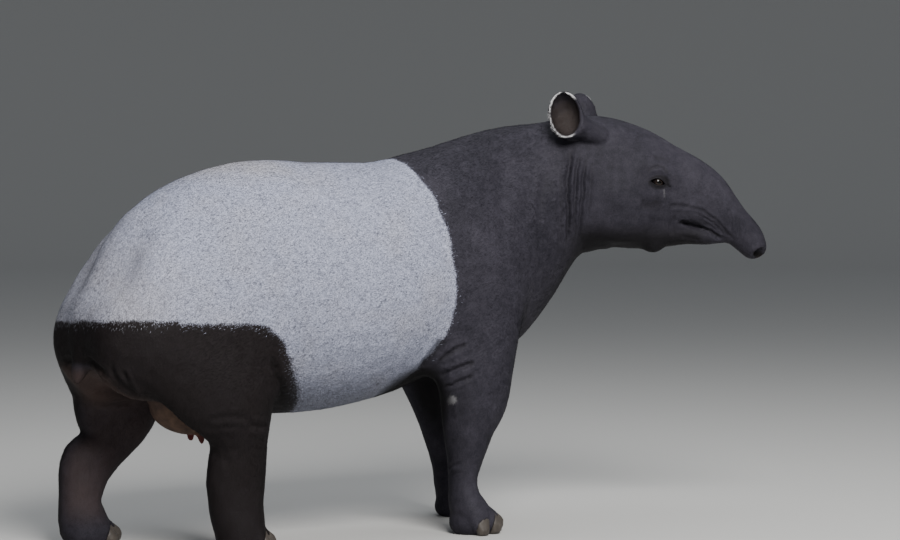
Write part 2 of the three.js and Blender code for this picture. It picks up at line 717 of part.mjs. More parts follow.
function earSolid({ side, middle, out, lean }) {
  const centre = headToWorld(middle.u, side * middle.v, middle.z);
  const facing = forward.clone().multiplyScalar(out.u)
    .addScaledVector(leftward, side * out.v)
    .setZ(out.z)
    .normalize();
  const tip = new THREE.Vector3(0, 0, 1).addScaledVector(forward, lean);
  const across = new THREE.Vector3().crossVectors(tip, facing).normalize();
  const frame = new THREE.Matrix4()
    .makeBasis(across, new THREE.Vector3().crossVectors(facing, across), facing)
    .setPosition(centre);
  const root = headToWorld(earRoot.u, side * earRoot.v, earRoot.z)
    .applyMatrix4(frame.clone().invert())
    .divideScalar(size);
  const outer = swelling(0, 0, -2, cup.across, cup.tall, cup.deep);
  const inner = swelling(0, 2, 2, cup.across - cup.wall, cup.tall - cup.wall, cup.deep - cup.wall - 1);
  const stalk = tube([
    [root.x, root.y, root.z, 41, 40, 35],
    [root.x * 0.55, root.y * 0.62, mix(root.z, -cup.deep * 0.5, 0.5), 47, 44, 34],
    [root.x * 0.12, root.y * 0.16, -cup.deep * 0.42, 44, 48, 25],
  ], { cap: 0.5 });
  const field = (x, y, z) => {
    const bowl = smoothUnion(outer(x, y, z), stalk(x, y, z), 24);
    return smoothCut(Math.max(bowl, z - 4 - 0.0022 * y * y), inner(x, y, z), 2);
  };
  const reach = [Math.abs(root.x), Math.abs(root.y), Math.abs(root.z)];
  const low = [-60 - reach[0], -80 - reach[1], -60 - reach[2]];
  const { vertices, triangles } = simplify(meshField(field, low, [60 + reach[0], 80, 22], 3.2), 360);
  const p = new THREE.Vector3();
  const placed = vertices.map((v) => p.fromArray(v).multiplyScalar(size).applyMatrix4(frame).toArray());
  return solidOf({ vertices: placed, triangles });
}

const earRoot = { u: -6, v: 54, z: 1052 };
const ears = [
  { name: 'ear_right', side: -1, middle: { u: -99, v: 122, z: 1112 }, out: { u: -0.25, v: 1, z: 0.1 }, lean: -0.2 },
  { name: 'ear_left', side: 1, middle: { u: -44, v: 120, z: 1112 }, out: { u: 0.4, v: 1, z: 0.15 }, lean: -0.1 },
];
for (const ear of ears) {
  let solid = earSolid(ear);
  const outward = leftward.clone().multiplyScalar(ear.side * seam).setZ(seam * 0.6).toArray();
  for (const flesh of [headSolid, trunkSolid]) solid = solid.subtract(flesh).subtract(flesh.translate(outward));
  addNode(ear.name, solid, coat.dark);
}
addNode('head', head, coat.dark);

// Tail and udder
const tailSolid = region(tailLine, [-850, -70, 400], [-660, 70, 620], 5, 170);
addNode('tail', tailSolid.subtract(torso).subtract(torso.translate([-seam, 0, -seam])), coat.dark);
const udderSolid = region(bodyField, [-620, -110, 240], [-330, 110, 420], 6, 620);
addNode('udder', udderSolid.intersect(blockOf(scaled(udderBlock), -half)), coat.skin);

// Legs, feet and hooves
const ankleHeight = 112 * size;
for (const foot of feet) {
  const reach = foot.hind ? 260 : 200;
  const low = [foot.x - reach * size, foot.y - 150 * size, 60 * size];
  const high = [foot.x + reach * size, foot.y + 150 * size, 480 * size];
  const leg = region(bodyField, low, high, 11, 900);
  const anklePlane = [[foot.x, foot.y, ankleHeight], [0.12, 0, 1]];
  addNode(
    `${foot.hind ? 'hind' : 'fore'}leg_${foot.name.split('_')[1]}`,
    leg.intersect(blockOf(scaled(legBlocks[foot.name]), -half)).intersect(blockOf([anklePlane], -half)),
    coat.dark,
  );

  const padLow = [foot.x - 90 * size, foot.y - 110 * size, -8];
  const padHigh = [foot.x + 125 * size, foot.y + 110 * size, 150 * size];
  const floor = [[0, 0, 0], [0, 0, 1]];
  let flesh = region(footField(foot), padLow, padHigh, 5, 440).intersect(blockOf([floor], 0));
  flesh = flesh.intersect(blockOf([flip(anklePlane)], -half));
  for (const toe of toesOf(foot)) {
    const ahead = toe.tip.clone().sub(toe.root).setZ(0).normalize();
    const coronet = toe.tip.clone().addScaledVector(ahead, -toe.wide * 0.35 * size).setZ(20 * size);
    const plane = [coronet.toArray(), [ahead.x, ahead.y, -0.35]];
    const side = new THREE.Vector3(-ahead.y, ahead.x, 0);
    const edge = (toe.wide + 3) * size;
    const planes = [
      plane,
      [toe.tip.clone().addScaledVector(side, edge).toArray(), side.clone().negate().toArray()],
      [toe.tip.clone().addScaledVector(side, -edge).toArray(), side.toArray()],
    ];
    addNode(`hoof_${foot.name}_${toe.name}`, flesh.intersect(blockOf(planes, -half)), coat.horn);
    flesh = flesh.subtract(blockOf(planes, half));
  }
  addNode(`foot_${foot.name}`, flesh, coat.dark);
}

// The origin is the middle of the animal's box, on the floor
const box = new THREE.Box3().setFromObject(model);
const middle = box.getCenter(new THREE.Vector3());
for (const mesh of model.children) mesh.geometry.translate(-middle.x, -middle.y, -box.min.z);

export default model;
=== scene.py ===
import math

import bmesh
import bpy
import numpy as np
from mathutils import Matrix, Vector
from mathutils.kdtree import KDTree


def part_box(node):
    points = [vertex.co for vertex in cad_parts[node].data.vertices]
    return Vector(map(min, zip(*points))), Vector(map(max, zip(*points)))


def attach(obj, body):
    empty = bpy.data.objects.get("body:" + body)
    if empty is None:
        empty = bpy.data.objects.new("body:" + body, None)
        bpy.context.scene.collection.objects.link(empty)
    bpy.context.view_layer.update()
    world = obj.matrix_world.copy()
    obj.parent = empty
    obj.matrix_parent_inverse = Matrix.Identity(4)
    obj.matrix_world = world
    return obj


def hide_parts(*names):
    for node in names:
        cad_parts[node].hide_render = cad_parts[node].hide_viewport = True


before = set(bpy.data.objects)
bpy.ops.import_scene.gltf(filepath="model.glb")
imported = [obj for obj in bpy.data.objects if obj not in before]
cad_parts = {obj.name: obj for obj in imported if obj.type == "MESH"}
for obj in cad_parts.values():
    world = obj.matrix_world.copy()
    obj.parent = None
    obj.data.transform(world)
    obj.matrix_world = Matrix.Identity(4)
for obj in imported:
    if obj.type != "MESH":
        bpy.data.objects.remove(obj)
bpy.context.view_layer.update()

# Malayan tapir, standing, seen from behind its right flank. Lengths are in mm where no other unit is named.
# Places are in the animal's own frame (x ahead, y to its left, z up) and shift moves them onto the solids.

seed = np.random.default_rng(7)

head = {"yaw": -30.0, "base": (715.0, -115.0)}                # degrees, and the x and y it turns about
eye = {"u": 153.0, "v": 80.0, "z": 931.0, "radius": 17.0}     # u is along the head and v across it
yaw = math.radians(head["yaw"])
ahead = np.array([math.cos(yaw), math.sin(yaw), 0.0])
leftward = np.array([-math.sin(yaw), math.cos(yaw), 0.0])
headBase = np.array([*head["base"], 0.0])


def fromHead(u, v, z):
    # place in the animal's frame of a point given along, across and above the head
    return headBase + ahead * u + leftward * v + np.array([0.0, 0.0, z])


def toHead(p):
    d = p - headBase
    return d @ ahead, d @ leftward, p[:, 2]


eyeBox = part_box("eye_right")
shift = np.array((eyeBox[0] + eyeBox[1]) / 2) * 1000 - fromHead(eye["u"], -eye["v"], eye["z"])


def smooth(low, high, x):
    t = np.clip((x - low) / (high - low), 0, 1)
    return t * t * (3 - 2 * t)


def bell(d, width):
    return np.exp(-((d / width) ** 2))


def ovalDistance(p, at, radii):
    # distance from a place that lies on both sides of the animal, as a share of three radii
    d = (np.stack([p[:, 0], np.abs(p[:, 1]), p[:, 2]], axis=1) - at) / radii
    return np.sqrt(d[:, 0] ** 2 + d[:, 1] ** 2 + d[:, 2] ** 2)


def waves(p, scale, phase=0.0):
    # a cheap smooth noise between about -1 and 1
    x, y, z = (p / scale).T
    return (np.sin(x + 1.7 * np.sin(z + phase)) + np.sin(1.3 * z + 1.5 * np.sin(y * 1.1 - phase))
            + np.sin(1.9 * y + 1.3 * np.sin(x * 0.9 + phase)) + np.sin(2.3 * x - 1.9 * z + phase)) / 4


# Mesh helpers

def newObject(name, verts, faces, materials=()):
    mesh = bpy.data.meshes.new(name)
    faces = np.asarray(faces)
    size = faces.shape[1]
    mesh.vertices.add(len(verts))
    mesh.vertices.foreach_set("co", np.asarray(verts, np.float32).ravel())
    mesh.loops.add(faces.size)
    mesh.loops.foreach_set("vertex_index", faces.astype(np.int32).ravel())
    mesh.polygons.add(len(faces))
    mesh.polygons.foreach_set("loop_start", np.arange(0, faces.size, size, dtype=np.int32))
    mesh.update(calc_edges=True)
    for material in materials:
        mesh.materials.append(material)
    obj = bpy.data.objects.new(name, mesh)
    bpy.context.scene.collection.objects.link(obj)
    return obj


def coords(mesh):
    co = np.empty(len(mesh.vertices) * 3, np.float32)
    mesh.vertices.foreach_get("co", co)
    return co.reshape(-1, 3).astype(float) * 1000 - shift


def setCoords(mesh, co):
    mesh.vertices.foreach_set("co", ((co + shift) / 1000).astype(np.float32).ravel())
    mesh.update()


def normals(mesh):
    n = np.empty(len(mesh.vertices) * 3, np.float32)
    mesh.vertices.foreach_get("normal", n)
    return n.reshape(-1, 3).astype(float)


def edges(mesh):
    e = np.empty(len(mesh.edges) * 2, np.int32)
    mesh.edges.foreach_get("vertices", e)
    return e.reshape(-1, 2)


def shadeSmooth(mesh):
    mesh.polygons.foreach_set("use_smooth", np.ones(len(mesh.polygons), bool))


def relax(co, pairs, weight, rounds, keep=True):
    # laplacian smoothing; with keep, each round is followed by a round outward that holds the volume
    count = len(co)
    a, b = pairs[:, 0], pairs[:, 1]
    degree = np.bincount(a, minlength=count) + np.bincount(b, minlength=count)
    for _ in range(rounds):
        for pull in ((0.5, -0.53) if keep else (0.5,)):
            mean = np.empty_like(co)
            for n in range(3):
                mean[:, n] = (np.bincount(a, co[b, n], count) + np.bincount(b, co[a, n], count)) / degree
            co = co + (mean - co) * (pull * weight)[:, None]
    return co


def fresh(obj):
    # the object's mesh with its modifiers applied
    graph = bpy.context.evaluated_depsgraph_get()
    mesh = bpy.data.meshes.new_from_object(obj.evaluated_get(graph))
    old = obj.data
    obj.modifiers.clear()
    obj.data = mesh
    bpy.data.meshes.remove(old)
    return mesh


def joined(name, nodes, swell):
    # one object of copies of CAD nodes, each grown by swell millimetres so that their seams close
    verts, faces, start = [], [], 0
    for node in nodes:
        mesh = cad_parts[node].data
        mesh.calc_loop_triangles()
        tris = np.empty(len(mesh.loop_triangles) * 3, np.int32)
        mesh.loop_triangles.foreach_get("vertices", tris)
        co = coords(mesh)
        keys, index = np.unique(np.round(co, 2), axis=0, return_inverse=True)
        tri = index.reshape(-1)[tris].reshape(-1, 3)
        tri = tri[(tri[:, 0] != tri[:, 1]) & (tri[:, 1] != tri[:, 2]) & (tri[:, 2] != tri[:, 0])]
        face = np.cross(keys[tri[:, 1]] - keys[tri[:, 0]], keys[tri[:, 2]] - keys[tri[:, 0]])
        normal = np.zeros_like(keys)
        for n in range(3):
            np.add.at(normal, tri[:, n], face)
        normal /= np.maximum(np.linalg.norm(normal, axis=1, keepdims=True), 1e-9)
        verts.append(keys + normal * swell)
        faces.append(tri + start)
        start += len(keys)
    co = (np.vstack(verts) + shift) / 1000
    return newObject(name, co, np.vstack(faces))


def keepLargest(mesh):
    # drops loose bits left inside by the remesh
    pairs = edges(mesh)
    label = np.arange(len(mesh.vertices))
    while True:
        low = np.minimum(label[pairs[:, 0]], label[pairs[:, 1]])
        new = label.copy()
        np.minimum.at(new, pairs[:, 0], low)
        np.minimum.at(new, pairs[:, 1], low)
        new = new[new]
        if (new == label).all():
            break
        label = new
    main = np.bincount(label).argmax()
    work = bmesh.new()
    work.from_mesh(mesh)
    work.verts.ensure_lookup_table()
    bmesh.ops.delete(work, geom=[work.verts[i] for i in np.nonzero(label != main)[0]], context="VERTS")
    work.to_mesh(mesh)
    work.free()


def refine(mesh, wanted):
    # cuts each face whose vertices are all in wanted into four
    work = bmesh.new()
    work.from_mesh(mesh)
    cut = [e for e in work.edges if wanted[e.verts[0].index] and wanted[e.verts[1].index]]
    bmesh.ops.subdivide_edges(work, edges=cut, cuts=1, use_grid_fill=True)
    work.to_mesh(mesh)
    work.free()
    mesh.update()


# Skin: copies of the solids' flesh, fused, smoothed and then worked with folds, lids and creases

sides = ("right", "left")
feet = [f"{end}_{side}" for end in ("fore", "hind") for side in sides]
fleshNodes = (["torso", "neck", "head", "proboscis", "tail", "udder", "ear_right", "ear_left"]
              + [f"{end}leg_{side}" for end in ("fore", "hind") for side in sides]
              + [f"foot_{foot}" for foot in feet])
hoofNodes = [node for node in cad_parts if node.startswith("hoof_")]

skinSet = {
    "voxel": 5.0,        # between the remesh's vertices
    "swell": 0.6,        # each solid grows by this before they are fused
    "rounds": 46,        # smoothing rounds on the trunk
    "headHold": 0.72,    # how much less the head, ears and feet are smoothed
    "earHold": 0.86,
    "footHold": 0.65,
    "headRounds": 6,     # smoothing rounds on the head after it is refined
    "eyeReach": 34,      # the skin within this of an eye is refined once more
    "coatDepth": 2.5,    # the skin lies this far inside the solids
}

skin = joined("skin", fleshNodes + ["eye_right", "eye_left"], skinSet["swell"])
mod = skin.modifiers.new("fuse", "REMESH")
mod.mode = "VOXEL"
mod.voxel_size = skinSet["voxel"] / 1000
skinMesh = fresh(skin)
keepLargest(skinMesh)
print("skin fused:", len(skinMesh.vertices), "vertices")

earSet = {
    "right": {"middle": (-99, 122, 1112), "out": (-0.25, 1, 0.1), "lean": -0.2, "sign": -1},
    "left": {"middle": (-44, 120, 1112), "out": (0.4, 1, 0.15), "lean": -0.1, "sign": 1},
}
cup = {"across": 46, "tall": 66}      # half the width and height of an ear's opening


def earFrame(ear):
    u, v, z = ear["middle"]
    centre = fromHead(u, ear["sign"] * v, z)
    out = ahead * ear["out"][0] + leftward * ear["sign"] * ear["out"][1] + np.array([0, 0, ear["out"][2]])
    out /= np.linalg.norm(out)
    tip = np.array([0, 0, 1.0]) + ahead * ear["lean"]
    across = np.cross(tip, out)
    across /= np.linalg.norm(across)
    return centre, across, np.cross(out, across), out


def earLocal(p, ear):
    centre, across, up, out = earFrame(ear)
    d = p - centre
    return d @ across, d @ up, d @ out


def headness(co):
    u, v, z = toHead(co)
    return smooth(-130, -60, u) * smooth(690, 730, z)


def earness(co):
    found = np.zeros(len(co))
    for ear in earSet.values():
        x, y, z = earLocal(co, ear)
        q = np.hypot(np.hypot(x / 62, y / 84), z / 62)
        found = np.maximum(found, smooth(1.25, 1.0, q))
    u, v, z = toHead(co)
    return found * smooth(1030, 1050, z)


co = coords(skinMesh)
weight = 1 - skinSet["headHold"] * headness(co)
weight = np.minimum(weight, 1 - skinSet["earHold"] * earness(co))
weight = np.minimum(weight, (1 - skinSet["footHold"]) + skinSet["footHold"] * smooth(60, 200, co[:, 2]))
co = relax(co, edges(skinMesh), weight, skinSet["rounds"])
setCoords(skinMesh, co)
refine(skinMesh, (headness(co) > 0.4) | (earness(co) > 0.1))
co = coords(skinMesh)
weight = 0.9 * np.maximum(headness(co), 0.05) * (1 - 0.4 * earness(co))
co = relax(co, edges(skinMesh), weight, skinSet["headRounds"])
eyeNear = np.zeros(len(co), bool)
for sign in (-1, 1):
    lidPlace = fromHead(eye["u"], sign * (eye["v"] + 14), eye["z"])
    eyeNear |= np.linalg.norm(co - lidPlace, axis=1) < skinSet["eyeReach"]
setCoords(skinMesh, co)
refine(skinMesh, eyeNear)
co = coords(skinMesh)
print("skin refined:", len(co), "vertices")

# The crease between the chest and each foreleg is softened
chestCrease = {"at": (455, 135, 585), "radii": (110, 110, 150), "weight": 0.95, "rounds": 60}
chest = bell(ovalDistance(co, chestCrease["at"], chestCrease["radii"]), 0.9)
co = relax(co, edges(skinMesh), chestCrease["weight"] * chest, chestCrease["rounds"], keep=False)

# The hollows beside the root of the tail are smoothed, so that little but its tip stands out. Each pair of
# numbers is where the smoothing starts and where it is full
tailHollow = {
    "x": (-610, -700), "wide": (180, 100), "low": (462, 492), "high": (800, 640),
    "weight": 0.95, "rounds": 70,
}
aboveTail = (smooth(*tailHollow["x"], co[:, 0]) * smooth(*tailHollow["wide"], np.abs(co[:, 1]))
             * smooth(*tailHollow["low"], co[:, 2]) * smooth(*tailHollow["high"], co[:, 2]))
co = relax(co, edges(skinMesh), tailHollow["weight"] * aboveTail, tailHollow["rounds"], keep=False)

# The skin lies inside the solids by the coat's depth, less on the face, ears and feet
thin = np.maximum.reduce([0.75 * headness(co), 0.9 * earness(co), smooth(140, 60, co[:, 2])])
co -= normals(skinMesh) * (skinSet["coatDepth"] * (1 - thin))[:, None]


def alongLine(co, points):
    # distance from each place to a broken line, and how far along it the nearest point is (0 to 1)
    points = np.asarray(points, float)
    lengths = np.linalg.norm(np.diff(points, axis=0), axis=1)
    run = np.concatenate([[0], np.cumsum(lengths)])
    best = np.full(len(co), np.inf)
    where = np.zeros(len(co))
    for i, (a, b) in enumerate(zip(points[:-1], points[1:])):
        d = b - a
        t = np.clip((co - a) @ d / (d @ d), 0, 1)
        dist = np.linalg.norm(co - a - t[:, None] * d, axis=1)
        near = dist < best
        best[near] = dist[near]
        where[near] = ((run[i] + t * lengths[i]) / run[-1])[near]
    return best, where


def press(co, normal, points, width, depth, lip=0.0, taper=0.25):
    # moves the skin along its normals under a line: depth in, with soft lips raised on both sides
    reach = width * 3.5
    near = np.all((co > points.min(0) - reach) & (co < points.max(0) + reach), axis=1)
    d, t = alongLine(co[near], points)
    fade = smooth(0, taper, t) * smooth(1, 1 - taper, t) if taper else 1.0
    profile = -depth * bell(d, width) + lip * bell(d - 1.8 * width, width)
    co[near] += normal[near] * (profile * fade)[:, None]


wobble = {"along": 2.6, "up": 2.0}    # how far the folds stray from their lines


def onSkin(points, step=6.0):
    # a line drawn near the body, rounded, cut into short steps and laid on the skin
    line = np.asarray(points, float)
    for _ in range(2):
        a, b = line[:-1], line[1:]
        inner = np.stack([a * 0.75 + b * 0.25, a * 0.25 + b * 0.75], axis=1).reshape(-1, 3)
        line = np.vstack([line[:1], inner, line[-1:]])
    dense = [line[0]]
    for a, b in zip(line[:-1], line[1:]):
        count = max(1, round(float(np.linalg.norm(b - a)) / step))
        dense += [a + (b - a) * k / count for k in range(1, count + 1)]
    dense = np.array(dense)
    sway = np.outer(wobble["along"] * waves(dense, 14), ahead)
    rise = np.outer(wobble["up"] * waves(dense, 11, 1.0), [0, 0, 1])
    dense = dense + sway + rise
    return np.array([co[skinTree.find(p)[1]] for p in dense])


def headLine(points, side):
    return [fromHead(u, side * v, z) for u, v, z in points]


# Folds, each as points, width, depth, lip and how strongly painted shade darkens the coat along it. Body
# points are x, y, z
elbowFolds = [
    ([(222, -240, 516), (184, -226, 494), (150, -205, 466)], 6, 6, 1.5, 0.85),
    ([(246, -248, 466), (196, -230, 448), (152, -192, 420)], 6, 8, 2.2, 0.95),
    ([(240, -248, 432), (198, -226, 412), (160, -190, 388)], 5, 6, 2.0, 0.9),
    ([(160, -230, 530), (141, -218, 499), (126, -200, 470), (108, -175, 440)], 13, 8, 2.5, 0.75),
]
bodyFolds = elbowFolds + [
    # flank and knee
    ([(-357, -246, 520), (-340, -237, 472), (-302, -200, 415), (-268, -140, 376)], 9, 7, 3.0, 0.55),
    ([(-418, -246, 334), (-384, -240, 322), (-348, -220, 326)], 9, 4, 2.5, 0.25),
    ([(-531, -232, 348), (-491, -246, 357), (-444, -253, 356), (-396, -245, 340)], 8, 1.4, 0.8, 0.08),
    ([(-517, -221, 322), (-477, -240, 331), (-424, -246, 327)], 7, 1.2, 0.6, 0.05),
    # buttock, tail and udder
    ([(-745, -150, 500), (-738, -148, 470), (-712, -150, 438), (-660, -142, 404)], 7, 5, 3.0, 0.3),
    ([(-722, -160, 486), (-704, -158, 446), (-668, -144, 410)], 6, 4, 3.0, 0.2),
    ([(-776, -60, 470), (-750, -100, 452), (-706, -128, 422)], 6, 4, 2.0, 0.3),
    ([(-768, -34, 486), (-766, -62, 500), (-756, -100, 492), (-738, -128, 470)], 8, 6, 2.5, 0.6),
    ([(-770, 34, 488), (-768, 56, 496), (-762, 88, 484)], 7, 4, 1.5, 0.4),
    ([(-690, 118, 380), (-640, 96, 375), (-575, 92, 370)], 6, 3, 1.5, 0.15),
    # wrist and shoulder
    ([(210, -150, 172), (216, -186, 190), (232, -204, 192)], 5, 2.5, 1.0, 0.1),
    ([(206, -152, 150), (212, -184, 166), (228, -200, 168)], 5, 2.0, 1.0, 0.1),
    ([(430, -90, 1000), (368, -166, 913), (347, -213, 808), (358, -230, 716)], 22, 3, 1.5, 0.0),
]
# Head points are u along, v across and z up, on both sides
headFolds = [
    # neck behind the jaw
    ([(-73, 97, 1036), (-88, 117, 987), (-97, 130, 917), (-91, 121, 836), (-95, 87, 743)], 7, 6.5, 3.0, 0.6),
    ([(-60, 104, 1020), (-72, 125, 944), (-75, 123, 863), (-81, 91, 771)], 5, 4.5, 2.5, 0.35),
    ([(-44, 106, 1014), (-51, 124, 933), (-58, 118, 852), (-67, 79, 770)], 5, 3.6, 2.0, 0.3),
    ([(-109, 118, 979), (-113, 134, 885), (-110, 122, 790), (-117, 98, 711)], 8, 3.0, 1.6, 0.2),
    ([(-28, 111, 987), (-32, 121, 912), (-39, 110, 831)], 6, 2.2, 1.2, 0.15),
    ([(-145, 125, 971), (-167, 156, 885), (-173, 174, 792)], 10, 2.4, 1.2, 0.1),
    # bridge and side of the snout
    ([(228, 72, 868), (267, 63, 860), (292, 56, 846), (320, 45, 821), (348, 34, 791), (376, 29, 766)],
     4.5, 1.8, 0.9, 0.35),
    ([(273, 57, 843), (301, 48, 827), (326, 35, 802), (348, 30, 783)], 3.5, 1.6, 1.2, 0.2),
    ([(178, 82, 865), (211, 75, 868), (250, 67, 865)], 6, 2.0, 1.2, 0.2),
    ([(371, 43, 846), (382, 43, 813), (380, 35, 775)], 3.5, 1.1, 0.6, 0.1),
    ([(349, 48, 862), (360, 48, 829), (358, 38, 794)], 3.5, 1.2, 0.6, 0.1),
    ([(397, 36, 824), (404, 38, 796), (399, 36, 766)], 3.0, 1.0, 0.6, 0.1),
    # brow, corner of the eye and cheek
    ([(122, 100, 958), (133, 98, 970), (149, 91, 975), (166, 88, 968), (178, 92, 952)], 5, 1.5, 0.9, 0.4),
    ([(138, 84, 994), (160, 76, 996), (186, 76, 980)], 14, 1.2, 0.0, 0.3),
    ([(172, 88, 925), (180, 87, 921), (192, 84, 919)], 3.2, 2.6, 0.6, 1.0),
    ([(167, 88, 915), (169, 88, 898), (168, 86, 879)], 3.0, 1.6, 0.8, 0.0),
    ([(101, 111, 879), (134, 98, 868), (170, 84, 873)], 17, 3.0, 0.5, 0.4),
    # lips
    ([(214, 47, 786), (247, 38, 777), (280, 32, 774)], 6, 2.2, 1.2, 0.35),
    ([(204, 71, 846), (192, 55, 813), (197, 49, 780)], 7, 2.6, 1.6, 0.25),
    ([(214, 56, 823), (230, 50, 822), (242, 34, 821), (270, 27, 812), (294, 30, 803), (318, 28, 790),
      (336, 18, 777)], 4.0, 5.0, 2.2, 1.0),
    ([(214, 57, 824), (232, 40, 821), (250, 30, 817), (272, 27, 811), (290, 29, 804)], 7.0, 6.0, 0.5, 1.0),
]

setCoords(skinMesh, co)
normal = normals(skinMesh)
skinTree = KDTree(len(co))
for index, p in enumerate(co):
    skinTree.insert(p, index)
skinTree.balance()
foldLines = [(onSkin(points), *rest) for points, *rest in bodyFolds]
foldLines += [(onSkin([(x, -y, z) for x, y, z in points]), *rest) for points, *rest in elbowFolds]
for side in (-1, 1):
    foldLines += [(onSkin(headLine(points, side)), *rest) for points, *rest in headFolds]
for points, width, depth, lip, dark in foldLines:
    press(co, normal, points, width, depth, lip)
print("skin folded:", len(foldLines), "folds")

# Lids: the skin round each eye is laid on a sphere a little larger than the eyeball and opened as an almond
lids = {
    "reach": 26.0, "blend": 35.0,                   # where the lids end, and the old skin beyond
    "long": 20.0, "above": 10.0, "below": 7.2,      # the opening, from the eye's middle
    "tilt": -14.0,                                  # degrees
    "thick": 1.6, "sink": 2.5, "back": 3.5,         # outside the ball, under the old skin, inside the ball
    "margin": 0.9, "marginWide": 1.6,               # the raised edge
}


def quadric(a, c):
    return np.stack([np.ones_like(a), a, c, a * a, a * c, c * c], axis=1)


def openLids(sign):
    d = co - fromHead(eye["u"], sign * eye["v"], eye["z"])
    a, c, v = d @ ahead, d[:, 2], d @ leftward * sign
    r = np.hypot(a, c)
    ring = (r > lids["reach"] + 4) & (r < lids["blend"] + 10) & (v > -20)
    fit, *_ = np.linalg.lstsq(quadric(a[ring], c[ring]), v[ring], rcond=None)
    patch = np.nonzero((r < lids["blend"]) & (v > -14))[0]
    pa, pc, pr = a[patch], c[patch], r[patch]
    base = quadric(pa, pc) @ fit
    dome = np.sqrt(np.maximum((eye["radius"] + lids["thick"]) ** 2 - pr ** 2, 0))
    cover = smooth(lids["blend"], lids["reach"] - 4, pr)
    tilt = math.radians(lids["tilt"])
    along = pa * math.cos(tilt) + pc * math.sin(tilt)
    across = pc * math.cos(tilt) - pa * math.sin(tilt)
    opening = np.where(across > 0, lids["above"], lids["below"]) * (1 - (along / lids["long"]) ** 2)
    inside = opening - np.abs(across)
    hull = np.maximum(base - lids["sink"], dome) + 0.8 * bell(base - lids["sink"] - dome, 4)
    behind = np.sqrt(np.maximum((eye["radius"] - lids["back"]) ** 2 - pr ** 2, 0))
    edge = smooth(-0.7, 0.9, inside)
    margin = lids["margin"] * bell(inside + lids["marginWide"], lids["marginWide"])
    lidV = hull * (1 - edge) + np.minimum(behind, hull) * edge + margin
    new = v[patch] * (1 - cover) + lidV * cover
    co[patch] += leftward * sign * (new - v[patch])[:, None]


for side in (-1, 1):
    openLids(side)

nostril = {
    "u": 443.0, "v": 24.0, "z": 729.0,              # its middle
    "long": 23.0, "wide": 20.0, "tall": 14.0,       # its radii
    "slope": 0.35,                                  # how it falls towards the tip
    "depth": 9.0,
}


def nostrilness(p):
    # distance from the middle of the nearer nostril, as a share of its radii
    u, v, z = toHead(p)
    along = u - nostril["u"]
    up = z - nostril["z"] + nostril["slope"] * along
    return np.sqrt((along / nostril["long"]) ** 2 + ((np.abs(v) - nostril["v"]) / nostril["wide"]) ** 2
                   + (up / nostril["tall"]) ** 2)


co -= normals(skinMesh) * (nostril["depth"] * bell(nostrilness(co), 0.75))[:, None]
setCoords(skinMesh, co)
co = relax(co, edges(skinMesh), np.full(len(co), 0.6) * (0.15 + 0.85 * headness(co)), 2)
setCoords(skinMesh, co)
shadeSmooth(skinMesh)
print("skin worked:", len(skinMesh.polygons), "faces")


# Markings: how far each place belongs to the pale saddle, and to bare skin, rims and warm hair, and how much
# painted shade it takes

saddle = {
    "front": (182.0, 640.0),        # x of the front edge, and the height it bulges at
    "curves": (2.05e-3, 0.47e-3),   # how it bends back below and above that height
    "rump": 580.0,                  # height of the edge over the rump
    "rumpTilt": 0.055,              # how it rises towards the right
    "flank": (-326.0, 528.0, 0.60), # a place on the edge before the thigh, and its slope
    "round": 70,                    # how widely the rump's edge turns into the flank's
    "soft": (14.0, 34.0),           # width of the mixed edge, and before the thigh
}


def paleness(p, ragged=0.0):
    x, z = p[:, 0], p[:, 2]
    wander = 4.5 * waves(p, 38) + 3 * waves(p, 13, 2.0) + ragged
    bulge, height = saddle["front"]
    below, above = saddle["curves"]
    front = bulge - below * np.minimum(z - height, 0) ** 2 - above * np.maximum(z - height, 0) ** 2 - x
    corner, level, slope = saddle["flank"]
    flank = (x - corner - slope * (level - z)) * 0.87
    rump = z - saddle["rump"] + saddle["rumpTilt"] * p[:, 1] * (x < -600)
    rear = np.maximum(rump, flank)
    blend = np.maximum(saddle["round"] - np.abs(rump - flank), 0) / saddle["round"]
    rear = rear + blend * blend * saddle["round"] * 0.25 - 10
    narrow, wide = saddle["soft"]
    soft = narrow + (wide - narrow) * smooth(-380, -330, x) * smooth(-180, -240, x) * smooth(530, 470, z)
    return smooth(-soft, soft, np.minimum(front, rear) + wander)


def warmth(p):
    # a beige tint along the back and over the rump
    top = smooth(900, 1000, p[:, 2]) * smooth(-60, -420, p[:, 0])
    rear = smooth(-560, -720, p[:, 0])
    return np.clip(0.6 * top + 0.4 * rear + 0.15 * waves(p, 90), 0, 1)


# Hollows where painted shade darkens the coat, round the armpits, inside the forelegs and between the hind
# legs: a place on both sides, three radii and how far
shadedHollows = [
    ((130, 110, 395), (120, 115, 95), 0.9),
    ((185, 130, 380), (75, 90, 120), 0.9),
    ((270, 90, 330), (120, 70, 170), 0.8),
    ((-600, 60, 430), (90, 70, 50), 0.3),
]
# strength of the painted shade under the belly, under the jaw and round the lids, and the size of the lids'
# patch
shading = {"belly": 0.35, "jaw": 0.8, "lids": 0.75, "lidLong": 29, "lidTall": 19}


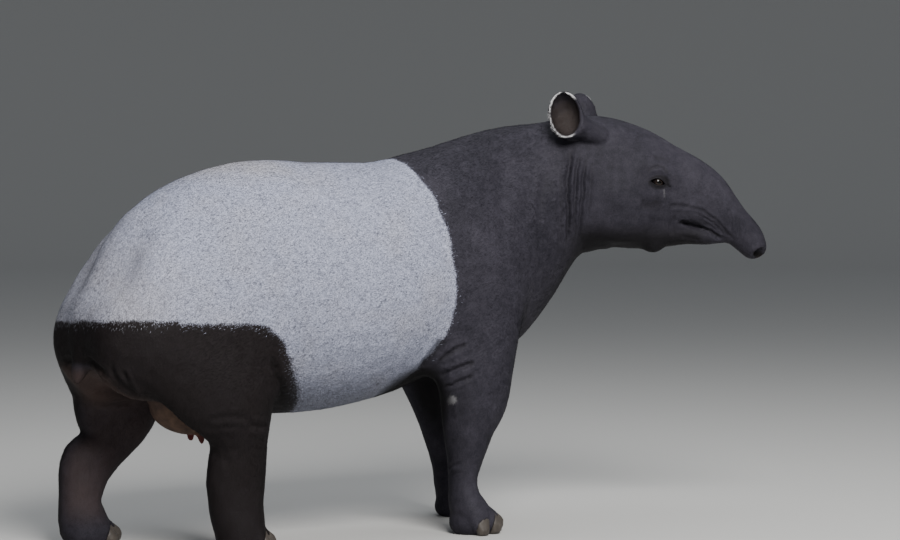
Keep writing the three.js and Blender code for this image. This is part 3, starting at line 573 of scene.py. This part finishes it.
def paintedShade(p):
    # painted shade: how far creases, hollows, the underside of the belly and jaw, the lids, the mouth and
    # the nostrils darken the coat
    found = np.zeros(len(p))
    for points, width, depth, lip, dark in foldLines:
        if dark:
            reach = width * 2.2
            inBox = np.all((p > points.min(0) - reach) & (p < points.max(0) + reach), axis=1)
            near = np.nonzero(inBox)[0]
            d, t = alongLine(p[near], points)
            stroke = dark * bell(d, width * 0.9) * smooth(0, 0.15, t) * smooth(1, 0.85, t)
            found[near] = np.maximum(found[near], stroke)
    for at, radii, dark in shadedHollows:
        found = np.maximum(found, dark * smooth(1.2, 0.6, ovalDistance(p, at, radii)))
    u, v, z = toHead(p)
    belly = smooth(480, 350, z) * smooth(-420, -320, p[:, 0]) * smooth(260, 180, p[:, 0])
    found = np.maximum(found, shading["belly"] * belly)
    lid = np.hypot((u - eye["u"] - 4) / shading["lidLong"], (z - eye["z"] - 1) / shading["lidTall"])
    lid = lid + 5 * (np.abs(v) < 40)
    jaw = smooth(835, 775, z) * smooth(-120, -30, u) * smooth(330, 250, u)
    found = np.maximum(found, np.maximum(shading["lids"] * smooth(1.2, 0.8, lid), shading["jaw"] * jaw))
    return np.maximum(found, smooth(1.25, 0.9, nostrilness(p)))


udder = {"at": (-478, 0, 345), "radii": (100, 78, 78), "edge": 1.35}


def bareness(p):
    # the thinly haired udder, and its teats
    x, y, z = p[:, 0], np.abs(p[:, 1]), p[:, 2]
    bare = np.clip(udder["edge"] - ovalDistance(p, udder["at"], udder["radii"]), 0, 1)
    teat = smooth(300, 280, z) * smooth(60, 30, y) * bell(x + 450, 40)
    return np.clip(smooth(0, 0.5, bare) + teat, 0, 1), teat


def brownness(p):
    # thin brown hair behind and inside the thighs, and the pinkish lip of the snout; inside the thighs the
    # brown is also a painted sheen
    x, y, z = p[:, 0], np.abs(p[:, 1]), p[:, 2]
    behind = smooth(-560, -700, x) * smooth(488, 450, z) * smooth(300, 380, z) * smooth(150, 100, y)
    # inside the thighs: partly thin brown hair, partly a painted sheen
    innerThighHairAndSheen = smooth(170, 120, y) * smooth(-380, -480, x) * smooth(40, 120, z) * smooth(440, 380, z)
    u, v, z = toHead(p)
    lip = smooth(425, 440, u) * smooth(738, 722, z)
    found = np.maximum(behind, 0.55 * innerThighHairAndSheen) * (0.88 + 0.12 * waves(p, 24))
    return np.clip(found, 0, 1) * (u < 100) + lip


def hindness(p):
    # the nearly black coat of the hindquarters, greyer on the tail's tip; inside the legs it is left
    # lighter, as a painted sheen
    x, y, z = p[:, 0], np.abs(p[:, 1]), p[:, 2]
    # inside the hind legs the coat is left lighter: a painted sheen
    inside = smooth(175, 140, y) * smooth(400, 340, z) * smooth(-420, -520, x)
    tip = smooth(-742, -758, x) * smooth(46, 36, y) * smooth(492, 478, z)
    return smooth(-60, -330, x) * (1 - 0.8 * np.maximum(inside, tip))


def rimness(p):
    # white edge of the ears, and the brown hair inside them
    rim, inner = np.zeros(len(p)), np.zeros(len(p))
    for ear in earSet.values():
        x, y, z = earLocal(p, ear)
        q = np.hypot(x / cup["across"], y / cup["tall"])
        near = (q < 1.25) & (z > -60) & (z < 40)
        edge = 4 + 0.0022 * y * y
        fore = -ear["sign"] * x / cup["across"]
        bare = smooth(0.1, 0.5, fore) * smooth(0.8, 0.5, y / cup["tall"])
        low = -3.8 - 6 * smooth(0.3, 0.8, y / cup["tall"])
        white = smooth(0, 1, (z - edge - low) / 3) * smooth(0.84, 0.91, q) * (1 - bare)
        rim = np.maximum(rim, near * white)
        bowl = np.hypot(np.hypot(x / 43, y / 62), (z - 2) / 40)
        inner = np.maximum(inner, near * smooth(0.98, 0.86, bowl))
    return rim, inner


callus = {"at": (191, 215, 364), "shape": (1, 2.5, 1.25), "radius": 12.0, "pale": 0.28}  # behind each elbow
tearLine = {"u": 170, "top": 912, "lean": 0.1, "width": 2.2, "pale": 0.10}               # below each eye


def mark(mesh, values):
    for name, value in values.items():
        attribute = mesh.attributes.new(name, "FLOAT", "POINT")
        attribute.data.foreach_set("value", np.asarray(value, np.float32))


def markings(p, ragged=0.0):
    bare, teat = bareness(p)
    rim, inner = rimness(p)
    u, v, z = toHead(p)
    tear = bell(u - tearLine["u"] - tearLine["lean"] * (tearLine["top"] - z), tearLine["width"])
    tear = tear * smooth(916, 910, z) * smooth(884, 896, z) * (np.abs(v) > 60)
    rim = np.maximum(rim, tearLine["pale"] * tear)
    spot = ovalDistance(p, callus["at"], callus["shape"]) + 2.5 * waves(p, 3)
    rim = np.maximum(rim, callus["pale"] * smooth(callus["radius"], 0.4 * callus["radius"], spot))
    return {
        "pale": paleness(p, ragged),
        "warm": warmth(p),
        "bare": bare,
        "teat": teat,
        "rim": rim,
        "inner": inner,
        # painted shade in creases, hollows, lids, mouth, nostrils and under the belly and jaw
        "shade": paintedShade(p),
        "brown": brownness(p),
        "hind": hindness(p),
    }


mark(skinMesh, markings(co))


# Shader maths: a socket that takes part in Python expressions

class Sock:
    tree = None

    def __init__(self, socket):
        self.socket = socket

    @classmethod
    def node(cls, kind, settings=None, **inputs):
        made = cls.tree.nodes.new(kind)
        for key, value in (settings or {}).items():
            setattr(made, key, value)
        for key, value in inputs.items():
            numbered = key[0] == "i" and key[1:].isdigit()
            cls.feed(made.inputs[int(key[1:]) if numbered else key], value)
        return made

    @classmethod
    def feed(cls, plug, value):
        if isinstance(value, Sock):
            cls.tree.links.new(value.socket, plug)
        elif value is not None:
            plug.default_value = value

    @classmethod
    def read(cls, name):
        return cls(cls.node("ShaderNodeAttribute", {"attribute_name": name}).outputs["Fac"])

    def maths(self, operation, other=None, flip=False, clamp=False):
        a, b = (other, self) if flip else (self, other)
        made = self.node("ShaderNodeMath", {"operation": operation, "use_clamp": clamp}, i0=a, i1=b)
        return Sock(made.outputs[0])

    def __add__(self, other):
        return self.maths("ADD", other)

    __radd__ = __add__

    def __mul__(self, other):
        return self.maths("MULTIPLY", other)

    __rmul__ = __mul__

    def __sub__(self, other):
        return self.maths("SUBTRACT", other)

    def __rsub__(self, other):
        return self.maths("SUBTRACT", other, flip=True)

    def clamp(self):
        return self.maths("ADD", 0.0, clamp=True)


def blendColor(fac, a, b):
    made = Sock.node("ShaderNodeMix", {"data_type": "RGBA"})
    Sock.feed(made.inputs["Factor"], fac)
    for plug, value in zip([p for p in made.inputs if p.name in "AB" and p.type == "RGBA"], (a, b)):
        Sock.feed(plug, (*value, 1.0) if isinstance(value, tuple) else value)
    return Sock([o for o in made.outputs if o.type == "RGBA"][0])


def place(stretch=(1, 1, 1)):
    where = Sock(Sock.node("ShaderNodeTexCoord").outputs["Object"])
    made = Sock.node("ShaderNodeMapping", i0=where)
    made.inputs["Scale"].default_value = stretch
    return Sock(made.outputs[0])


def noise(scale, detail=3.0, rough=0.5, stretch=(1, 1, 1)):
    settings = {"Scale": scale, "Detail": detail, "Roughness": rough}
    made = Sock.node("ShaderNodeTexNoise", Vector=place(stretch), **settings)
    return Sock(made.outputs["Fac"])


def newMaterial(name, sheen=0.0, specular=0.5):
    material = bpy.data.materials.new(name)
    material.use_nodes = True
    Sock.tree = material.node_tree
    shader = material.node_tree.nodes["Principled BSDF"]
    shader.inputs["Sheen Weight"].default_value = sheen
    shader.inputs["Sheen Roughness"].default_value = 0.45
    shader.inputs["Specular IOR Level"].default_value = specular
    return material, shader


colors = {
    "dark": (0.0165, 0.0155, 0.0215),
    "darkWorn": (0.046, 0.042, 0.055),
    "hind": (0.0078, 0.0052, 0.0043),
    "brown": (0.068, 0.045, 0.040),
    "pale": (0.42, 0.44, 0.56),
    "paleDark": (0.075, 0.08, 0.105),
    "warm": (0.50, 0.45, 0.39),
    "warmDark": (0.13, 0.115, 0.105),
    "bare": (0.060, 0.039, 0.032),
    "bareLight": (0.125, 0.080, 0.058),
    "teat": (0.10, 0.022, 0.022),
    "rim": (0.58, 0.57, 0.58),
    "inner": (0.044, 0.035, 0.033),
    # near-black colour of the painted shade
    "shade": (0.0045, 0.004, 0.004),
}


def coatColor(lightness, edge=None):
    # the animal's colour from its marks; lightness is a 0 to 1 variation between hairs
    read = Sock.read
    broad = noise(7, 3)
    worn = (broad * 1.3 + noise(48, 3) * 0.9 + lightness * 0.5 - 1.0).clamp()
    dark = blendColor(worn, colors["dark"], colors["darkWorn"])
    pale = blendColor(lightness, colors["paleDark"], colors["pale"])
    warm = blendColor(lightness, colors["warmDark"], colors["warm"])
    pale = blendColor((read("warm") * 0.7 + noise(9, 3) * 0.5 - 0.25).clamp(), pale, warm)
    dark = blendColor((read("hind") * 0.85).clamp(), dark, colors["hind"])
    base = blendColor(read("pale") if edge is None else edge, dark, pale)
    base = blendColor((read("brown") * 0.85).clamp(), base, colors["brown"])
    base = blendColor(read("inner"), base, colors["inner"])
    mottle = (noise(34, 5, 0.65) * 3.2 - 1.1).clamp()
    base = blendColor(read("bare"), base, blendColor(mottle, colors["bare"], colors["bareLight"]))
    base = blendColor(read("teat"), base, colors["teat"])
    base = blendColor(read("rim"), base, colors["rim"])
    # painted shade goes on last, over every other mark
    return blendColor(read("shade"), base, colors["shade"])


skinMaterial, shader = newMaterial("tapir skin", sheen=0.0, specular=0.12)
grain = noise(300, 3, 0.7)
edge = ((Sock.read("pale") + grain * 1.2 - 0.6) * 2.6 - 0.8).clamp()
Sock.feed(shader.inputs["Base Color"], coatColor((grain * 3.2 - 1.0).clamp(), edge))
Sock.feed(shader.inputs["Roughness"], 0.62 + noise(60, 2) * 0.1)
relief = noise(520, 2, 0.7) * 0.6 + noise(150, 3) * 0.4
bump = Sock.node("ShaderNodeBump", Height=relief, Strength=0.35, Distance=0.0016)
Sock.feed(shader.inputs["Normal"], Sock(bump.outputs["Normal"]))
skinMesh.materials.clear()
skinMesh.materials.append(skinMaterial)

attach(skin, "root")
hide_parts(*fleshNodes)

# Hooves: the solids' hooves, rounded
hoofSet = {"voxel": 2.4, "rounds": 14}
hooves = joined("hooves", hoofNodes, 0.0)
mod = hooves.modifiers.new("round", "REMESH")
mod.mode = "VOXEL"
mod.voxel_size = hoofSet["voxel"] / 1000
hoofMesh = fresh(hooves)
hco = coords(hoofMesh)
hco = relax(hco, edges(hoofMesh), np.full(len(hco), 1.0), hoofSet["rounds"])
hco[:, 2] = np.maximum(hco[:, 2], 0.0)
setCoords(hoofMesh, hco)
shadeSmooth(hoofMesh)
hornMaterial, shader = newMaterial("hoof horn", specular=0.4)
streak = noise(90, 4, 0.6, (1, 1, 0.15))
Sock.feed(shader.inputs["Base Color"], blendColor(streak, (0.020, 0.017, 0.015), (0.085, 0.070, 0.058)))
Sock.feed(shader.inputs["Roughness"], 0.42 + streak * 0.2)
hoofMesh.materials.append(hornMaterial)
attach(hooves, "root")
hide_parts(*hoofNodes)

# Eyes
eyeMaterial, shader = newMaterial("eye", specular=0.2)
iris = Sock.read("iris")
ground = blendColor(iris, (0.008, 0.006, 0.006), (0.014, 0.009, 0.007))
Sock.feed(shader.inputs["Base Color"], blendColor(Sock.read("pupil"), ground, (0.002, 0.002, 0.002)))
shader.inputs["Roughness"].default_value = 0.09
shader.inputs["Coat Weight"].default_value = 0.12
shader.inputs["Coat Roughness"].default_value = 0.02
for side, sign in (("right", -1), ("left", 1)):
    work = bmesh.new()
    bmesh.ops.create_uvsphere(work, u_segments=48, v_segments=32, radius=eye["radius"])
    mesh = bpy.data.meshes.new(f"eyeball_{side}")
    work.to_mesh(mesh)
    work.free()
    local = np.array([v.co for v in mesh.vertices])
    gaze = leftward * sign * 0.96 + ahead * 0.24
    gaze /= np.linalg.norm(gaze)
    facing = local @ gaze / eye["radius"]
    off = np.sqrt(np.clip(1 - facing ** 2, 0, 1)) + (facing < 0)
    level = local[:, 2] / eye["radius"]
    along = local @ np.cross(gaze, (0, 0, 1)) / eye["radius"]
    slit = np.hypot(along * 0.72, level)
    mark(mesh, {"iris": smooth(0.66, 0.58, off), "pupil": smooth(0.30, 0.24, slit)})
    setCoords(mesh, local + fromHead(eye["u"], sign * eye["v"], eye["z"]))
    shadeSmooth(mesh)
    mesh.materials.append(eyeMaterial)
    ball = bpy.data.objects.new(f"eyeball_{side}", mesh)
    bpy.context.scene.collection.objects.link(ball)
    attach(ball, "root")
    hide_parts(f"eye_{side}")
print("eyes and hooves made")

# Coat: short flat hair as joined meshes of thin tufts, each a bent blade lying along the body
coat = {
    "tufts": 424000,        # on the whole animal
    "perPiece": 66000,      # three triangles a tuft
    "length": 8.0,
    "width": 0.95,
    "lift": 0.15,           # how far a blade's tip stands off, as a share of its length
    "patch": 0.003,         # side of a tuft's patch on the unwrap
    "moreOnHead": 1.6,      # how much closer the tufts stand on the head and feet, and on the ears
    "moreOnEars": 1.5,
    "lessOnUdder": 0.93,
    "lessOnRim": 0.95,
    "spin": 0.2,            # how unevenly the tufts are turned, in radians
    "ragged": 8,            # how unevenly the saddle's edge falls on them
}
charts = {"parts": 7, "ways": 6, "margin": 0.03}      # of the unwrap, seven to a row


def lie(p, n):
    # direction the hair lies in: from the nose back over the head and trunk, and down the legs
    u, v, z = toHead(p)
    onHead = smooth(-140, -40, u)
    inLeg = smooth(470, 370, p[:, 2]) * np.where(
        (np.abs(p[:, 1]) < 85) | ((p[:, 0] > -300) & (p[:, 0] < 150)), 0.0, 1.0)
    rump = smooth(-520, -760, p[:, 0])
    body = np.array([-1.0, 0, -0.28]) + np.outer(rump, [0.75, 0, -0.9])
    face = -ahead - np.outer(smooth(0, 300, u), [0, 0, -0.55])
    d = body * (1 - onHead)[:, None] + face * onHead[:, None]
    d = d * (1 - inLeg)[:, None] + np.array([-0.22, 0, -1.0]) * inLeg[:, None]
    d = d + 0.22 * np.stack([waves(p, 60), waves(p, 55, 1.0), waves(p, 65, 2.0)], axis=1)
    d -= n * np.sum(d * n, axis=1)[:, None]
    return d / np.maximum(np.linalg.norm(d, axis=1, keepdims=True), 1e-6)


def triangles(mesh):
    mesh.calc_loop_triangles()
    tri = np.empty(len(mesh.loop_triangles) * 3, np.int32)
    mesh.loop_triangles.foreach_get("vertices", tri)
    return tri.reshape(-1, 3)


def unwrap(p, n):
    # a place on a flat map of the skin, with a chart for each part of the body and each way it faces
    u, v, z = toHead(p)
    part = np.where(earness(p) > 0.5, 6, np.where(u > -60, 5, 4))
    legs = (p[:, 2] < 400) & (np.abs(p[:, 1]) > 85) & ((p[:, 0] < -300) | (p[:, 0] > 150))
    part = np.where(legs, (p[:, 0] > 0) * 2 + (p[:, 1] > 0) * 1, part)
    axis = np.abs(n).argmax(axis=1)
    side = np.take_along_axis(n, axis[:, None], 1)[:, 0] > 0
    chart = part * charts["ways"] + axis * 2 + side
    flat = np.where((axis == 0)[:, None], p[:, 1:], np.where((axis == 1)[:, None], p[:, ::2], p[:, :2]))
    total = charts["parts"] * charts["ways"]
    low, high = np.zeros((total, 2)), np.ones((total, 2))
    for c in range(total):
        if (chart == c).any():
            low[c], high[c] = flat[chart == c].min(0), flat[chart == c].max(0)
    local = (flat - low[chart]) / np.maximum(high[chart] - low[chart], 1)
    corner = np.stack([chart % charts["parts"], chart // charts["parts"]], axis=1)
    return (corner + charts["margin"] + (1 - 2 * charts["margin"]) * local) / charts["parts"]


def scatterRoots(count):
    # places on the skin with their normals, thinner on the udder and none on the eyes or under the feet
    tri = triangles(skinMesh)
    a, b, c = (co[tri[:, k]] for k in range(3))
    area = np.linalg.norm(np.cross(b - a, c - a), axis=1) / 2
    middle = (a + b + c) / 3
    small = np.maximum(headness(middle), smooth(160, 90, middle[:, 2]))
    bare, _ = bareness(middle)
    eyeGap = np.ones(len(tri))
    for sign in (-1, 1):
        away = np.linalg.norm(middle - fromHead(eye["u"], sign * (eye["v"] + 12), eye["z"]), axis=1)
        eyeGap *= smooth(17, 22, away)
    closer = 1 + coat["moreOnHead"] * small + coat["moreOnEars"] * earness(middle)
    want = area * closer * (1 - coat["lessOnUdder"] * bare) * eyeGap
    want *= 1 - coat["lessOnRim"] * rimness(middle)[0]
    want[middle[:, 2] < 6] = 0
    pick = np.searchsorted(np.cumsum(want) / want.sum(), seed.random(count))
    r1, r2 = np.sqrt(seed.random(count)), seed.random(count)
    w = np.stack([1 - r1, r1 * (1 - r2), r1 * r2], axis=1)
    roots = a[pick] * w[:, :1] + b[pick] * w[:, 1:2] + c[pick] * w[:, 2:]
    vn = normals(skinMesh)
    n = sum(vn[tri[pick, k]] * w[:, k:k + 1] for k in range(3))
    return roots, n / np.maximum(np.linalg.norm(n, axis=1, keepdims=True), 1e-6)


def growCoat():
    count = coat["tufts"]
    roots, n = scatterRoots(count)
    d = lie(roots, n)
    spin = seed.normal(0, coat["spin"], count)
    across = np.cross(n, d)
    d = d * np.cos(spin)[:, None] + across * np.sin(spin)[:, None]
    across = np.cross(n, d)
    face = np.maximum(headness(roots), smooth(200, 90, roots[:, 2]))
    mixed = paleness(roots)
    mixed = 4 * mixed * (1 - mixed)
    long = coat["length"] * (1 - 0.52 * face) * (1 - 0.35 * mixed) * seed.uniform(0.75, 1.25, count)
    wide = coat["width"] * (1 - 0.3 * face) * (1 - 0.25 * mixed) * seed.uniform(0.8, 1.2, count)
    rim, inner = rimness(roots)
    lift = coat["lift"] * seed.uniform(0.4, 1.5, count) + 0.1 * rim + 0.2 * inner
    base = roots - n * 0.5
    mid = base + d * (long * 0.5)[:, None] + n * (long * lift * 0.75 + 0.5)[:, None]
    tip = base + d * long[:, None] + n * (long * lift + 0.2)[:, None]
    half = across * (wide / 2)[:, None]
    verts = np.stack([base - half, base + half, mid + half * 0.8, mid - half * 0.8, tip], axis=1)
    marks = markings(roots, seed.normal(0, coat["ragged"], count))
    jitter = np.minimum(1, 8 * marks["pale"] * (1 - marks["pale"])) * seed.uniform(-0.4, 0.4, count)
    marks["pale"] = smooth(0.1, 0.9, marks["pale"] + jitter)
    order = np.argsort(roots[:, 0], kind="stable")
    map2 = unwrap(roots, n)
    patch = coat["patch"]
    corners = np.array([[0, 0], [1, 0], [1, 0.5], [0, 0.5], [0.5, 1]]) * patch - patch / 2
    strand = seed.random(count)
    faces = np.array([[0, 1, 2], [0, 2, 3], [3, 2, 4]])
    for number, start in enumerate(range(0, count, coat["perPiece"])):
        part = order[start:start + coat["perPiece"]]
        size = len(part)
        tri3 = (faces[None] + np.arange(size)[:, None, None] * 5).reshape(-1, 3)
        places = (verts[part].reshape(-1, 3) + shift) / 1000
        obj = newObject(f"coat_{number + 1}", places, tri3, [coatMaterial])
        uv = (map2[part][:, None] + corners[None]).reshape(-1, 2)
        layer = obj.data.uv_layers.new(name="OFBake")
        layer.data.foreach_set("uv", uv[tri3.ravel()].astype(np.float32).ravel())
        mark(obj.data, {name: np.repeat(value[part], 5) for name, value in marks.items()})
        mark(obj.data, {"strand": np.repeat(strand[part], 5), "end": np.tile([0, 0, 0.5, 0.5, 1.0], size)})
        shadeSmooth(obj.data)
        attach(obj, "root")
    print("coat:", count, "tufts")


coatMaterial, shader = newMaterial("tapir coat", sheen=0.0, specular=0.12)
strand = Sock.read("strand")
fleck = strand.maths("GREATER_THAN", 0.74)
clump = noise(120, 3, 0.6)
lightness = (strand * 0.7 + clump * 2.6 - 0.95 - fleck * 0.8 + Sock.read("end") * 0.12).clamp()
Sock.feed(shader.inputs["Base Color"], coatColor(lightness))
shader.inputs["Roughness"].default_value = 0.6

growCoat()

# Floor, light and camera

def place3d(x, y, z):
    return (np.array([x, y, z], float) + shift) / 1000


# The floor is a wide bowl, flat at first, round a tiny innermost ring. These are in metres
room = {"middle": 0.0001, "flat": 16.0, "rise": 9.0, "steps": 24, "around": 96}
floorMaterial, shader = newMaterial("floor", specular=0.2)
shader.inputs["Base Color"].default_value = (0.50, 0.495, 0.48, 1)
shader.inputs["Roughness"].default_value = 0.9
rings = [(room["middle"], 0.0)]
rings += [(room["flat"] + room["rise"] * math.sin(t), room["rise"] * (1 - math.cos(t)))
          for t in np.linspace(0, math.pi / 2.2, room["steps"])]
turns = np.linspace(0, 2 * math.pi, room["around"], endpoint=False)
wall = np.array([(r * math.cos(t), r * math.sin(t), h) for r, h in rings for t in turns])
quads = []
for ring in range(len(rings) - 1):
    inner, outer = ring * len(turns), (ring + 1) * len(turns)
    for i in range(len(turns)):
        after = (i + 1) % len(turns)
        quads.append((inner + i, inner + after, outer + after, outer + i))
floor = newObject("floor", wall, quads, [floorMaterial])
shadeSmooth(floor.data)

world = bpy.data.worlds.new("studio")
bpy.context.scene.world = world
world.use_nodes = True
world.node_tree.nodes["Background"].inputs["Color"].default_value = (0.80, 0.85, 0.92, 1)
world.node_tree.nodes["Background"].inputs["Strength"].default_value = 0.27

lights = {
    "key": {"at": (-700, -4100, 3900), "size": 2.2, "power": 430, "color": (1.0, 0.99, 0.97)},
    "top": {"at": (500, 800, 4900), "size": 4.0, "power": 100, "color": (0.94, 0.97, 1.0)},
    "front": {"at": (3800, -2400, 2400), "size": 2.5, "power": 30, "color": (1.0, 0.98, 0.96)},
}
for name, light in lights.items():
    data = bpy.data.lights.new(name, "AREA")
    data.energy = light["power"]
    data.size = light["size"]
    data.color = light["color"]
    lamp = bpy.data.objects.new(name, data)
    bpy.context.scene.collection.objects.link(lamp)
    lamp.location = place3d(*light["at"])
    aim = Vector(place3d(0, 0, 600)) - lamp.location
    lamp.rotation_euler = aim.to_track_quat("-Z", "Y").to_euler()

shot = {"at": (-3286, -6181, 1025), "turn": 28.0, "right": 2.17, "down": 2.65, "lens": 105.6}
camData = bpy.data.cameras.new("camera")
camData.sensor_width = 36.0
camData.lens = shot["lens"]
camera = bpy.data.objects.new("camera", camData)
bpy.context.scene.collection.objects.link(camera)
camera.location = place3d(*shot["at"])
turned = (90 - shot["down"], 0, -shot["turn"] - shot["right"])
camera.rotation_euler = [math.radians(angle) for angle in turned]
bpy.context.scene.camera = camera
